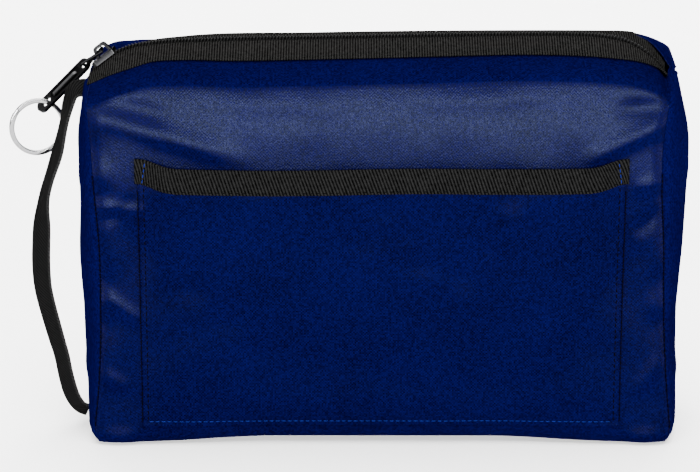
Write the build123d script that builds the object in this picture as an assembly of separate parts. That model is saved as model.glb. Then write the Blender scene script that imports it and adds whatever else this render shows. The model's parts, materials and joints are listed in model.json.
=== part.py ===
"""Zipped travel document pouch: a soft box of coated polyester with a front slip pocket, a coil zipper
along the top, a pull tab with a split ring, and a webbing wrist strap down its left side.

Millimetres. The origin is the centre of the flat base, +X runs to the right along the zipper, the front
with the slip pocket faces -Y, and +Z is up. The zipper is closed and its slider stands at the left end.
"""
from build123d import *
import math
import os

# ---- the pouch ----
FABRIC = 1.0                # sewn wall: coated cloth and its seam allowance
WRAP_HALF_LENGTH = 113.5    # gusset seam to centre
GUSSET_REACH = 122.5        # the gussets bulge out to here at mid depth
BASE_HALF_DEPTH = 24.6      # flat of the base, front to back
WALL_FOOT_Y = 31.0          # the front and rear walls just above the base corner
WALL_BELLY_Y = 32.2         # the same walls at mid height
WALL_TOP_Y = 30.0           # the same walls at the shoulder
BASE_CORNER = 6.0           # height of the rounded base corner
GUSSET_TOP = 138.5          # height of the gussets' top edge
LEFT_SHOULDER = 128.5       # the left gusset slopes inwards from here up, under the hanging ring
PLAN_HALF = 34.0            # half chord of the gussets' plan arc, where it would meet GUSSET_END_X
GUSSET_END_X = 112.5

# ---- the zipper, as a line in the XZ plane that dips at both ends ----
ZIP_START = (-116.2, 145.3)
ZIP_LEFT_CORNER = (-101.3, 156.45)
ZIP_RIGHT_CORNER = (98.0, 160.45)
ZIP_END = (113.5, 144.95)
ZIP_RADII = [14.0, 26.0]
COIL_GAP = 0.2              # half the gap between the two meshed coils
COIL_HALF_WIDTH = 3.0
COIL_THICK = 2.2
TAPE_THICK = 0.8
TAPE_FLAT_Y = 6.0           # the tape lies level out to here, then turns down to the cloth
TAPE_EDGE_Y = 12.0
FRONT_TAPE_DROP = 6.0       # front tape edge, below the chain
REAR_TAPE_DROP = -0.8       # rear tape edge, a little above it
FRONT_SHOULDER_DROP = 12.2  # front wall's top edge, below the chain
REAR_SHOULDER_DROP = 9.0

# ---- the slip pocket ----
POCKET_LEFT = -96.0
POCKET_RIGHT = 95.0
POCKET_BOTTOM = 8.0
POCKET_TOP = 104.2
POCKET_SEAM_Y = -33.2
POCKET_FACE_Y = -39.4
POCKET_SIDE_RUN = 12.0      # length over which each side rises from the seam to the face
POCKET_CLOTH = 0.9
BINDING_HEIGHT = 10.0
BINDING_THICK = 1.9

# ---- slider, link, tab and ring ----
SLIDER_X = -109.8           # where the slider stands on the straight stretch at the left end
SLIDER_HALF_LENGTH = 5.25
SLIDER_FRONT_HALF_WIDTH = 4.8
SLIDER_REAR_HALF_WIDTH = 4.0
SLIDER_PLATE = 1.0
SLIDER_CHANNEL = 1.6        # half height of the channel between the plates
SLIDER_WALL = 0.8
TAPE_SLOT = 0.75            # half height of the side slots that the tapes run in
CROWN_X = 1.0
CROWN_LENGTH = 7.2
CROWN_HEIGHT = 4.4
CROWN_WIDTH = 2.4
CROWN_WALL = 1.2
CROWN_BAR_HEIGHT = 1.9       # the link's bar above the top plate
LINK_WIRE_R = 0.65
LINK_LENGTH = 9.4           # between the centres of the link's two bars
LINK_HALF_WIDTH = 2.45
LINK_SLOPE = 220.5          # direction of the link from the crown, degrees from +X towards +Z
CROWN_BAR_TWIST = 10.0      # the crown bar's turn about the link's length, from level
TAB_BAR_TWIST = -30.0       # the same for the bar that carries the tab
TAB_SLOPE = 224.8
TAB_TWIST = -45.0
TAB_WIDTH = 5.4
TAB_THICK = 1.6
TAB_FAR_END = 26.4          # from the eye's centre to the rounded far end
TAB_NEAR_END = 2.6
TAB_EYE = (3.0, 3.2)        # along and across the tab
TAB_SLOT_AT = 21.5
TAB_SLOT = (4.4, 3.0)
TAB_RECESS = 0.3
TAB_RIM = 0.9
RING_RADIUS = 10.65         # to the middle of the wire
RING_RADIAL = 1.5
RING_AXIAL = 1.8
RING_YAW = 20.0             # the ring's left side stands this much nearer the front

# ---- the wrist strap ----
WEBBING_WIDTH = 10.0
WEBBING_THICK = 1.3
STRAP_Y = -8.5
STRAP_PATH = [(-122.6, 139.2), (-124.8, 139.2), (-127.2, 124.0), (-136.4, 91.0), (-139.2, 64.0),
              (-125.7, 3.0), (-123.2, 3.0)]
STRAP_RADII = [1.6, 30.0, 60.0, 50.0, 3.0]

# ---- seam binding inside ----
SEAM_TAPE_WIDTH = 7.0
SEAM_TAPE_THICK = 1.8
SEAM_TAPE_TOP = 132.0

os.makedirs("parts", exist_ok=True)


def save(shape, name):
    """Write one sub-part, in its place, to parts/name.step."""
    solids = [solid for solid in shape.solids() if solid.volume > 0.05]
    export_step(Compound(children=solids) if len(solids) > 1 else solids[0], f"parts/{name}.step")


def slab(x_from, x_to, y_from, y_to, z_from, z_to):
    """A plain block between two corners."""
    centre = ((x_from + x_to) / 2, (y_from + y_to) / 2, (z_from + z_to) / 2)
    return Pos(*centre) * Box(abs(x_to - x_from), abs(y_to - y_from), abs(z_to - z_from))


# ---------------------------------------------------------------- zipper line and what follows it
def zip_slope():
    """Angle in degrees of the straight stretch at the zipper's left end."""
    run = ZIP_LEFT_CORNER[0] - ZIP_START[0]
    rise = ZIP_LEFT_CORNER[1] - ZIP_START[1]
    return math.degrees(math.atan2(rise, run))


def on_left_stretch(x):
    """Point of the chain's straight left stretch, or of its continuation, at x."""
    return (x, ZIP_START[1] + (x - ZIP_START[0]) * math.tan(math.radians(zip_slope())))


def zip_line(start, end, y, drop):
    """The chain's centre line from start to end, at depth y and lowered by drop."""
    corners = [start, ZIP_LEFT_CORNER, ZIP_RIGHT_CORNER, end]
    return FilletPolyline(*[(x, y, z - drop) for x, z in corners], radius=ZIP_RADII)


def zip_band(y_from, y_to, drop_from, drop_to, thick, start=ZIP_START, end=ZIP_END):
    """A strip that follows the chain's line, from one depth to another; drops are to its top face."""
    top = zip_line(start, end, y_from, drop_from)
    bottom = zip_line(start, end, y_from, drop_from + thick)
    section = make_face([*top.edges(), Line(top @ 1, bottom @ 1), *bottom.edges(),
                         Line(bottom @ 0, top @ 0)])
    across = Vector(0, y_to - y_from, drop_from - drop_to)
    return extrude(section, amount=across.length, dir=across)


def above_shoulder(y_from, y_to, drop_from, drop_to):
    """Everything above a shoulder's surface, with both ends of the line run on past the pouch."""
    reach = GUSSET_REACH + 3
    right = (reach, ZIP_END[1] - (reach - ZIP_END[0]))
    ceiling = 60.0
    return zip_band(y_from, y_to, drop_from - ceiling, drop_to - ceiling, ceiling,
                    start=on_left_stretch(-reach), end=right)


def front_cutter():
    slope = (FRONT_SHOULDER_DROP - FRONT_TAPE_DROP) / (WALL_TOP_Y - TAPE_EDGE_Y)
    far = WALL_TOP_Y + 8
    return above_shoulder(-TAPE_EDGE_Y, -far, FRONT_TAPE_DROP, FRONT_TAPE_DROP + slope * (far - TAPE_EDGE_Y))


def rear_cutter():
    slope = (REAR_SHOULDER_DROP - REAR_TAPE_DROP) / (WALL_TOP_Y - TAPE_EDGE_Y)
    far = WALL_TOP_Y + 8
    return above_shoulder(TAPE_EDGE_Y, far, REAR_TAPE_DROP, REAR_TAPE_DROP + slope * (far - TAPE_EDGE_Y))


# ---------------------------------------------------------------- pouch cloth
def pouch_profile(inset):
    """Outline of the pouch across its depth, set in by a wall, as a face in the YZ plane."""
    flat = BASE_HALF_DEPTH
    foot = WALL_FOOT_Y - inset
    belly = WALL_BELLY_Y - inset
    top = WALL_TOP_Y - inset
    front_top = 150.0 - inset
    rear_top = 154.0 - inset
    mid = 70.0
    corner_y = foot - (foot - flat) * (1 - math.sqrt(0.5))
    corner_z = inset + (BASE_CORNER - inset) * (1 - math.sqrt(0.5))
    edges = [
        Line((0, -flat, inset), (0, flat, inset)),
        ThreePointArc((0, flat, inset), (0, corner_y, corner_z), (0, foot, BASE_CORNER)),
        ThreePointArc((0, foot, BASE_CORNER), (0, belly, mid), (0, top, rear_top)),
        Line((0, top, rear_top), (0, -top, front_top)),
        ThreePointArc((0, -top, front_top), (0, -belly, mid), (0, -foot, BASE_CORNER)),
        ThreePointArc((0, -foot, BASE_CORNER), (0, -corner_y, corner_z), (0, -flat, inset)),
    ]
    return make_face(edges)


def pouch_prism(x_from, x_to, inset=0.0):
    """The pouch's profile, inset by a wall if asked, run between two ends."""
    return Pos(x_from, 0, 0) * extrude(pouch_profile(inset), amount=x_to - x_from, dir=(1, 0, 0))


def plan_face(inset=0.0):
    """Plan of the pouch with its two bulging ends, inset by a wall if asked."""
    end_x = GUSSET_END_X - inset
    reach = GUSSET_REACH - inset
    return make_face([
        Line((-end_x, -PLAN_HALF, 0), (end_x, -PLAN_HALF, 0)),
        ThreePointArc((end_x, -PLAN_HALF, 0), (reach, 0, 0), (end_x, PLAN_HALF, 0)),
        Line((end_x, PLAN_HALF, 0), (-end_x, PLAN_HALF, 0)),
        ThreePointArc((-end_x, PLAN_HALF, 0), (-reach, 0, 0), (-end_x, -PLAN_HALF, 0)),
    ])


def main_panel():
    """One cloth piece: front wall, base and rear wall, turned in at the top to meet the zipper."""
    shell = pouch_prism(-WRAP_HALF_LENGTH, WRAP_HALF_LENGTH)
    shell -= pouch_prism(-WRAP_HALF_LENGTH - 1, WRAP_HALF_LENGTH + 1, inset=FABRIC)
    shell -= front_cutter()
    shell -= rear_cutter()
    shell -= slab(-130, 130, -TAPE_EDGE_Y, TAPE_EDGE_Y, GUSSET_TOP - 5, 190)
    within = slab(-WRAP_HALF_LENGTH, WRAP_HALF_LENGTH, -50, 50, 0, 190)
    front = zip_band(-TAPE_EDGE_Y, -WALL_TOP_Y, FRONT_TAPE_DROP, FRONT_SHOULDER_DROP, FABRIC)
    rear = zip_band(TAPE_EDGE_Y, WALL_TOP_Y, REAR_TAPE_DROP, REAR_SHOULDER_DROP, FABRIC)
    base = Pos(0, 0, -FABRIC) * extrude(plan_face(), amount=2 * FABRIC, dir=(0, 0, 1))
    base &= pouch_prism(-GUSSET_REACH - 1, GUSSET_REACH + 1)
    return shell + (front & within) + (rear & within) + base


def above_left_shoulder(drop):
    """Everything above the left gusset's sloping top, lowered by drop along its own normal."""
    reach = GUSSET_REACH + 10
    low = LEFT_SHOULDER - 10 - drop * math.sqrt(2)
    side = Polyline((-reach, 0, low), (-reach, 0, low + 60), (60 - reach, 0, low + 60), close=True)
    return extrude(make_face(side), amount=50, dir=(0, 1, 0), both=True)


def gusset(side):
    """End panel that bulges outwards, with its top edge turned in; side is -1 left or 1 right."""
    inner, outer = sorted([side * WRAP_HALF_LENGTH, side * (GUSSET_REACH + 5)])
    end = pouch_prism(inner, outer)
    block = Pos(0, 0, FABRIC) * extrude(plan_face(), amount=GUSSET_TOP - FABRIC, dir=(0, 0, 1))
    room = extrude(plan_face(inset=FABRIC), amount=GUSSET_TOP - FABRIC, dir=(0, 0, 1))
    if side < 0:
        block -= above_left_shoulder(0)
        room -= above_left_shoulder(FABRIC)
    panel = ((block - room) & end) - front_cutter() - rear_cutter()
    if side < 0:
        panel -= strap_bottom_slot()
    return panel


def seam_tape(side):
    """Binding over the raw edges inside one gusset seam: down the front, across and up the rear."""
    gap = 0.1
    far = side * (WRAP_HALF_LENGTH - gap)
    near = far - side * SEAM_TAPE_WIDTH
    low, high = sorted([near, far])
    ring = pouch_prism(low, high, inset=FABRIC + gap)
    ring -= pouch_prism(low - 1, high + 1, inset=FABRIC + gap + SEAM_TAPE_THICK)
    return ring & slab(-130, 130, -50, 50, 0, SEAM_TAPE_TOP)


# ---------------------------------------------------------------- slip pocket
def pocket_line(out):
    """The pocket's outer face in plan, moved forward by out."""
    corners = [(POCKET_LEFT, POCKET_SEAM_Y), (POCKET_LEFT + POCKET_SIDE_RUN, POCKET_FACE_Y),
               (POCKET_RIGHT - POCKET_SIDE_RUN, POCKET_FACE_Y), (POCKET_RIGHT, POCKET_SEAM_Y)]
    return FilletPolyline(*[(x, y - out, 0) for x, y in corners], radius=10.0)


def pocket_band(out, thick, z_from, height):
    """A band of the pocket's plan shape."""
    face_line = pocket_line(out)
    back_line = pocket_line(out - thick)
    section = make_face([*face_line.edges(), Line(face_line @ 1, back_line @ 1), *back_line.edges(),
                         Line(back_line @ 0, face_line @ 0)])
    return Pos(0, 0, z_from) * extrude(section, amount=height, dir=(0, 0, 1))


def pocket_panel():
    """Pocket cloth, sewn to the front wall at its sides and base and standing a little off it."""
    front = pocket_band(0, POCKET_CLOTH, POCKET_BOTTOM, POCKET_TOP - POCKET_BOTTOM)
    line = pocket_line(0)
    floor = make_face([*line.edges(), Line(line @ 1, line @ 0)])
    return front + Pos(0, 0, POCKET_BOTTOM) * extrude(floor, amount=POCKET_CLOTH, dir=(0, 0, 1))


def pocket_binding():
    """Woven binding folded over the pocket's top edge."""
    return pocket_band(BINDING_THICK - POCKET_CLOTH, BINDING_THICK, POCKET_TOP, BINDING_HEIGHT)


# ---------------------------------------------------------------- zipper
def zip_tape(side):
    """One half of the zipper tape: level beside the chain, then turned to meet the cloth."""
    half = TAPE_THICK / 2
    drop = FRONT_TAPE_DROP if side < 0 else REAR_TAPE_DROP
    level = zip_band(side * COIL_HALF_WIDTH, side * TAPE_FLAT_Y, -half, -half, TAPE_THICK)
    turned = zip_band(side * TAPE_FLAT_Y, side * TAPE_EDGE_Y, -half, drop - half, TAPE_THICK)
    return level + turned


def zip_coil(side):
    """One half of the chain, from inside the slider to the right end."""
    start = on_left_stretch(SLIDER_X - 1.4)
    half = COIL_THICK / 2
    return zip_band(side * COIL_GAP, side * COIL_HALF_WIDTH, -half, -half, COIL_THICK, start=start)


def slider_frame():
    """Axes of the slider: x along the chain to the right, z out of the pouch."""
    x, z = on_left_stretch(SLIDER_X)
    turn = math.radians(zip_slope())
    return Plane(origin=(x, 0, z), x_dir=(math.cos(turn), 0, math.sin(turn)),
                 z_dir=(-math.sin(turn), 0, math.cos(turn)))


def slider_outline():
    """Plan of a slider plate, wider where the two tapes part."""
    front = SLIDER_FRONT_HALF_WIDTH
    rear = SLIDER_REAR_HALF_WIDTH
    half = SLIDER_HALF_LENGTH
    corners = [(-half, -front + 1.2), (-half + 1.6, -front), (half, -rear), (half, rear),
               (-half + 1.6, front), (-half, front - 1.2)]
    return fillet(make_face(Polyline(*corners, close=True)).vertices(), radius=0.6)


def slider_body():
    """Top and bottom plates with side flanges, the wedge that joins them, and the crown on top."""
    outline = slider_outline()
    core = slab(-20, 20, -SLIDER_REAR_HALF_WIDTH + SLIDER_WALL, SLIDER_REAR_HALF_WIDTH - SLIDER_WALL, -9, 9)
    rim = outline - offset(outline, amount=-SLIDER_WALL, kind=Kind.INTERSECTION)
    flange = extrude(rim, amount=SLIDER_CHANNEL - TAPE_SLOT) - core
    plate = extrude(outline, amount=SLIDER_PLATE)
    body = Pos(0, 0, SLIDER_CHANNEL) * plate + Pos(0, 0, -SLIDER_CHANNEL - SLIDER_PLATE) * plate
    body += Pos(0, 0, TAPE_SLOT) * flange + Pos(0, 0, -SLIDER_CHANNEL) * flange
    wedge = make_face(Polyline((-4.9, 0), (-3.8, 1.2), (-2.0, 0), (-3.8, -1.2), close=True))
    body += Pos(0, 0, -SLIDER_CHANNEL) * extrude(wedge, amount=2 * SLIDER_CHANNEL)
    return slider_frame() * (body + crown())


def crown():
    """Arch over the top plate that the link hangs in."""
    floor = SLIDER_CHANNEL + SLIDER_PLATE
    half = CROWN_LENGTH / 2
    outer = FilletPolyline((CROWN_X - half, 0, floor), (CROWN_X - half + 0.8, 0, floor + CROWN_HEIGHT),
                           (CROWN_X + half - 0.8, 0, floor + CROWN_HEIGHT), (CROWN_X + half, 0, floor),
                           radius=1.5)
    inner_top = floor + CROWN_HEIGHT - CROWN_WALL
    inner_half = half - CROWN_WALL
    inner = FilletPolyline((CROWN_X - inner_half, 0, floor), (CROWN_X - inner_half + 0.6, 0, inner_top),
                           (CROWN_X + inner_half - 0.6, 0, inner_top), (CROWN_X + inner_half, 0, floor),
                           radius=0.9)
    section = make_face([*outer.edges(), Line(outer @ 1, outer @ 0)])
    section -= make_face([*inner.edges(), Line(inner @ 1, inner @ 0)])
    arch = extrude(section, amount=CROWN_WIDTH / 2, dir=(0, 1, 0), both=True)
    return fillet(arch.edges().filter_by(GeomType.LINE).group_by(Axis.Z)[-1], radius=0.35)


def direction(slope):
    """Unit vector in the XZ plane at an angle from +X towards +Z."""
    return Vector(math.cos(math.radians(slope)), 0, math.sin(math.radians(slope)))


def turned_y(slope, twist):
    """The +Y axis turned by twist about a length that runs at slope."""
    up = direction(slope - 90)
    return Vector(0, 1, 0) * math.cos(math.radians(twist)) + up * math.sin(math.radians(twist))


def crown_bar_centre():
    return slider_frame().from_local_coords(Vector(CROWN_X, 0, SLIDER_CHANNEL + SLIDER_PLATE + CROWN_BAR_HEIGHT))


def tab_bar_centre():
    return crown_bar_centre() + direction(LINK_SLOPE) * LINK_LENGTH


def rod(start, end, radius):
    """A round bar with ball ends."""
    along = end - start
    bar = Plane(origin=start, z_dir=along) * Cylinder(radius, along.length, align=(Align.CENTER, Align.CENTER,
                                                                                   Align.MIN))
    return bar + Pos(*start) * Sphere(radius) + Pos(*end) * Sphere(radius)


def pull_link():
    """Closed wire link: one bar in the crown, a twisted pair of legs, and the bar that carries the tab."""
    crown_half = turned_y(LINK_SLOPE, CROWN_BAR_TWIST) * LINK_HALF_WIDTH
    tab_half = turned_y(LINK_SLOPE, TAB_BAR_TWIST) * LINK_HALF_WIDTH
    near = crown_bar_centre()
    far = tab_bar_centre()
    corners = [near - crown_half, near + crown_half, far + tab_half, far - tab_half]
    link = rod(corners[3], corners[0], LINK_WIRE_R)
    for start, end in zip(corners[:3], corners[1:]):
        link += rod(start, end, LINK_WIRE_R)
    return link


def tab_frame():
    """Axes of the pull tab: x down its length from the eye, z out of its front face."""
    return Plane(origin=tab_bar_centre(), x_dir=direction(TAB_SLOPE), z_dir=-turned_y(TAB_SLOPE, TAB_TWIST))


def stadium(length, width, at=0.0):
    """A slot outline with round ends, length overall, centred at x = at."""
    return Pos(at, 0, 0) * SlotOverall(length, width) if length > width else Pos(at, 0, 0) * Circle(width / 2)


def pull_tab():
    """Flat cast tab with a raised rim, an eye for the link and a slot for the ring."""
    length = TAB_FAR_END + TAB_NEAR_END
    middle = (TAB_FAR_END - TAB_NEAR_END) / 2
    tab = Pos(0, 0, -TAB_THICK / 2) * extrude(stadium(length, TAB_WIDTH, middle), amount=TAB_THICK)
    eye = Ellipse(TAB_EYE[0] / 2, TAB_EYE[1] / 2)
    ring_slot = Pos(TAB_SLOT_AT, 0, 0) * SlotOverall(TAB_SLOT[0], TAB_SLOT[1])
    for hole in (eye, ring_slot):
        tab -= extrude(hole, amount=TAB_THICK, both=True)
    recess_from = TAB_EYE[0] / 2 + TAB_RIM
    recess_to = TAB_SLOT_AT - TAB_SLOT[0] / 2 - TAB_RIM
    recess = stadium(recess_to - recess_from, TAB_WIDTH - 2 * TAB_RIM, (recess_from + recess_to) / 2)
    for face_z in (TAB_THICK / 2 - TAB_RECESS, -TAB_THICK / 2):
        tab -= Pos(0, 0, face_z) * extrude(recess, amount=TAB_RECESS)
    return tab_frame() * tab


def ring_axis():
    """Direction of the ring's wire where it passes through the tab's slot."""
    level = Vector(0.90, 0, -0.43).normalized()
    yaw = math.radians(RING_YAW)
    return level * math.cos(yaw) + Vector(0, 1, 0) * math.sin(yaw)


def ring_hang():
    """Direction from the slot to the ring's centre when the ring hangs still."""
    wire = ring_axis()
    down = Vector(0, 0, -1)
    return (down - wire * down.dot(wire)).normalized()


def ring_slot_centre():
    return tab_bar_centre() + direction(TAB_SLOPE) * TAB_SLOT_AT


def split_ring():
    """Two flat turns of spring wire, drawn as the one ring that they fill."""
    section = fillet(Rectangle(RING_RADIAL, RING_AXIAL).vertices(), radius=0.4)
    hoop = revolve(Plane.XZ * Pos(RING_RADIUS, 0, 0) * section, axis=Axis.Z)
    hang = ring_hang()
    centre = ring_slot_centre() + hang * RING_RADIUS
    return Plane(origin=centre, x_dir=ring_axis(), z_dir=ring_axis().cross(hang)) * hoop


# ---------------------------------------------------------------- wrist strap
def strap_bottom_slot():
    """Gap in the left gusset's foot that the strap's lower end is sewn into."""
    x, z = STRAP_PATH[-1]
    play = 0.3
    half = WEBBING_WIDTH / 2 + play
    return slab(x - 2, x + 12, STRAP_Y - half, STRAP_Y + half, z - WEBBING_THICK / 2 - play,
                z + WEBBING_THICK / 2 + play)


def wrist_strap():
    """The strap's free span, bowed out to the left for a hand."""
    half = WEBBING_THICK / 2
    left = FilletPolyline(*[(x, 0, z) for x, z in STRAP_PATH], radius=STRAP_RADII)
    ribbon = make_face(offset(left, amount=half, side=Side.BOTH, closed=True))
    return Pos(0, STRAP_Y, 0) * extrude(ribbon, amount=WEBBING_WIDTH / 2, dir=(0, 1, 0), both=True)


def strap_end(at, inward):
    """A sewn end of the strap, running level from the free span into the seam."""
    x, z = at
    gap = WEBBING_THICK / 2 + 0.3
    return slab(x + gap, x + gap + inward, STRAP_Y - WEBBING_WIDTH / 2, STRAP_Y + WEBBING_WIDTH / 2,
                z - WEBBING_THICK / 2, z + WEBBING_THICK / 2)


# ---------------------------------------------------------------- write every sub-part
save(main_panel(), "main_panel")
save(gusset(-1), "gusset_left")
save(gusset(1), "gusset_right")
save(seam_tape(-1), "seam_tape_left")
save(seam_tape(1), "seam_tape_right")
save(pocket_panel(), "pocket_panel")
save(pocket_binding(), "pocket_binding")
save(zip_tape(-1), "zip_tape_front")
save(zip_tape(1), "zip_tape_rear")
save(zip_coil(-1), "zip_coil_front")
save(zip_coil(1), "zip_coil_rear")
save(slider_body(), "slider_body")
save(pull_link(), "pull_link")
save(pull_tab(), "pull_tab")
save(split_ring(), "split_ring")
save(wrist_strap(), "wrist_strap")
save(strap_end(STRAP_PATH[0], 5.6), "strap_end_top")
save(strap_end(STRAP_PATH[-1], 8.0), "strap_end_bottom")

for label, point in (("crown bar", crown_bar_centre()), ("tab bar", tab_bar_centre()),
                     ("tab bar direction", turned_y(LINK_SLOPE, TAB_BAR_TWIST)),
                     ("ring slot", ring_slot_centre()), ("ring axis", ring_axis()),
                     ("ring hang", ring_hang()), ("slider", slider_frame().origin)):
    print(label, [round(value, 4) for value in point])
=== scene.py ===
"""Looks of the zipped travel document pouch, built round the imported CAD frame.

Lengths in this script are millimetres in the row frame (+X right, +Y to the rear, +Z up, the origin at
the centre of the base) and are turned into metres when a mesh is made.
"""

import json
import math

import bpy
import numpy as np
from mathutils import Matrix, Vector, noise


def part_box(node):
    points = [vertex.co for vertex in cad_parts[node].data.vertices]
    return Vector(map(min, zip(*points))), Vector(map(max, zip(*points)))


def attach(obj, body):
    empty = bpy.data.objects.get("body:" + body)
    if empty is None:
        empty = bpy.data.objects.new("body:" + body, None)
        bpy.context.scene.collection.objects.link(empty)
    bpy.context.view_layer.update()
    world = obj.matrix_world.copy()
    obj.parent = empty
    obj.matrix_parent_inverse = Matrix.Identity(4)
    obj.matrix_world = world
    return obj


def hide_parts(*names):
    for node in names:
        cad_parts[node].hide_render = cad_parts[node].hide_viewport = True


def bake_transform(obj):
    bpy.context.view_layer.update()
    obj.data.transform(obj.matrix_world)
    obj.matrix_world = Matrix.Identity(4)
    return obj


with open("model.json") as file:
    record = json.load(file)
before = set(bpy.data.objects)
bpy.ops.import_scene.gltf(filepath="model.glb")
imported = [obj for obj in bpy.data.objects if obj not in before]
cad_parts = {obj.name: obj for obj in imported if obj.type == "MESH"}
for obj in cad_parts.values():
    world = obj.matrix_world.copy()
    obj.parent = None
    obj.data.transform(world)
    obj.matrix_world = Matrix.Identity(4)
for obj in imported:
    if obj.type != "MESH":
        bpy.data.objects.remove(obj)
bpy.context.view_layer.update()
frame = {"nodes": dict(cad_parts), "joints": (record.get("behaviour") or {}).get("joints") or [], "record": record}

MM = 0.001


def node_box(name):
    """Lowest and highest corner of a CAD node, in millimetres."""
    low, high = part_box(name)
    return np.array(low) / MM, np.array(high) / MM


def joint(name):
    """A joint's record."""
    return next(entry for entry in frame["joints"] if entry["name"] == name)


# ---- driving dimensions, from the frame where it has them ----
POCKET_LOW, POCKET_HIGH = node_box("pocket_panel")
BINDING_LOW, BINDING_HIGH = node_box("pocket_binding")
STRAP_LOW, STRAP_HIGH = node_box("wrist_strap")
STRAP_Y = (STRAP_LOW[1] + STRAP_HIGH[1]) / 2

GUSSET_REACH = node_box("main_panel")[1][0]        # how far the end gussets bulge from the centre
SLIDER_X = -109.8
HALF_LENGTH = 112.0          # half the length of the front and rear walls at mid height
HALF_TOP = 114.5             # half the length along the zipper
WALL_HEIGHT = 150.0          # where the walls' bulge ends, below the zipper
CLOTH_THICK = 0.5
TAPE_THICK = 0.55
BINDING_THICK = 1.7
STRAP_THICK = 1.25
SEAM_TAPE_WIDTH, SEAM_TAPE_THICK = 6.4, 1.5
RING_WIRE_WIDTH, RING_WIRE_THICK = 1.9, 0.86
SEED = 7

# The zipper's chain, seen from the front: x and height.
CHAIN = [(-116.2, 145.3), (-113.0, 147.7), (-109.8, 150.1), (-106.3, 152.5), (-100.3, 155.1), (-92.3, 156.5),
         (-67.0, 158.0), (-29.0, 158.8), (20.0, 159.7), (56.0, 160.2), (75.0, 160.2), (88.0, 159.4),
         (97.5, 157.3), (107.0, 151.5), (113.5, 144.95)]
# Where the front and rear cloth meet the zipper tapes: x, depth, height.
FRONT_EDGE = [(-116.1, -13.0, 142.1), (-107.3, -13.0, 145.9), (-99.3, -13.0, 148.6), (-90.6, -13.0, 151.3),
              (-80.0, -13.0, 152.0), (-59.0, -13.0, 151.7), (-29.0, -13.0, 152.2), (1.5, -13.0, 152.9),
              (24.0, -13.0, 153.5), (64.0, -13.0, 154.1), (82.5, -13.0, 153.4), (92.0, -12.6, 152.5),
              (100.6, -11.4, 151.2), (106.0, -9.4, 149.5), (109.7, -7.4, 147.6), (113.8, -4.5, 143.8)]
REAR_EDGE = [(-116.1, 11.0, 146.0), (-107.7, 12.0, 150.6), (-101.6, 12.0, 152.8), (-94.0, 12.0, 154.9),
             (-79.0, 12.0, 156.8), (-29.0, 12.0, 158.2), (20.0, 12.0, 158.9), (90.0, 12.0, 159.0),
             (97.0, 11.6, 159.0), (101.0, 10.8, 158.7), (106.4, 8.2, 156.0), (110.0, 5.7, 152.2),
             (113.8, 3.0, 147.6)]
# Crest of the rear shoulder, 20 mm behind the chain.
REAR_CREST = [(-115.5, 147.6), (-113.1, 150.4), (-108.1, 153.4), (-99.9, 154.8), (-88.0, 155.4),
              (-60.0, 156.4), (0.0, 157.4), (60.0, 158.0), (94.0, 158.0), (106.2, 156.4), (112.0, 153.9),
              (117.0, 150.6)]


# ---------------------------------------------------------------- small helpers
def smooth(x):
    """Smoothstep from 0 to 1."""
    x = np.clip(x, 0.0, 1.0)
    return x * x * (3 - 2 * x)


def bell(x):
    """Gaussian bump of height 1 at 0."""
    return np.exp(-x * x)


def curve_through(knots, at, column=1):
    """Smooth curve through one column of given knots, by their first column."""
    places = np.array([knot[0] for knot in knots], float)
    values = np.array([knot[column] for knot in knots], float)
    slopes = np.gradient(values, places)
    at = np.clip(np.asarray(at, float), places[0], places[-1])
    cell = np.clip(np.searchsorted(places, at) - 1, 0, len(places) - 2)
    step = places[cell + 1] - places[cell]
    t = (at - places[cell]) / step
    return ((2 * t**3 - 3 * t**2 + 1) * values[cell] + (t**3 - 2 * t**2 + t) * step * slopes[cell]
            + (3 * t**2 - 2 * t**3) * values[cell + 1] + (t**3 - t**2) * step * slopes[cell + 1])


def run_along(path):
    """Distance run along a path, at each of its points."""
    return np.concatenate([[0], np.cumsum(np.linalg.norm(np.diff(path, axis=0), axis=1))])


def path_through(points, count):
    """Evenly spaced points on a smooth curve through given points."""
    points = np.array(points, float)
    ends = np.vstack([2 * points[0] - points[1], points, 2 * points[-1] - points[-2]])
    dense = []
    for first in range(len(points) - 1):
        a, b, c, d = ends[first:first + 4]
        for t in np.linspace(0, 1, 40, endpoint=False):
            dense.append(0.5 * (2 * b + (c - a) * t + (2 * a - 5 * b + 4 * c - d) * t**2
                                + (3 * b - a - 3 * c + d) * t**3))
    dense = np.array(dense + [points[-1]])
    return evenly(dense, count)


def evenly(path, count):
    """The same path with evenly spaced points."""
    run = run_along(path)
    even = np.linspace(0, run[-1], count)
    return np.stack([np.interp(even, run, path[:, axis]) for axis in range(3)], axis=1)


def ripple(x, y, z, wavelength):
    """Smooth seeded noise, one value for each point."""
    flat = zip(np.ravel(x) / wavelength, np.ravel(y) / wavelength, np.ravel(z) / wavelength)
    values = [noise.noise(Vector((a + SEED, b, c))) for a, b, c in flat]
    return np.array(values).reshape(np.shape(x))


def refined(section, longest):
    """A closed section with points added so that no side is much longer than asked."""
    fine = []
    for a, b in zip(section, np.roll(section, -1, axis=0)):
        count = max(1, int(np.linalg.norm(b - a) / longest))
        fine += [a + (b - a) * k / count for k in range(count)]
    return np.array(fine)


def new_mesh(name, points, faces, uvs=None, material=None, smooth_shading=True):
    """A mesh object from millimetre points, with cloth coordinates in millimetres."""
    mesh = bpy.data.meshes.new(name)
    mesh.from_pydata([tuple(point) for point in np.asarray(points) * MM], [], faces)
    if uvs is not None:
        layer = mesh.uv_layers.new(name="cloth")
        corners = np.empty(len(mesh.loops), int)
        mesh.loops.foreach_get("vertex_index", corners)
        layer.data.foreach_set("uv", np.asarray(uvs, float)[corners].ravel())
    mesh.polygons.foreach_set("use_smooth", [smooth_shading] * len(mesh.polygons))
    mesh.update()
    thing = bpy.data.objects.new(name, mesh)
    bpy.context.scene.collection.objects.link(thing)
    if material:
        mesh.materials.append(material)
    return thing


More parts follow.
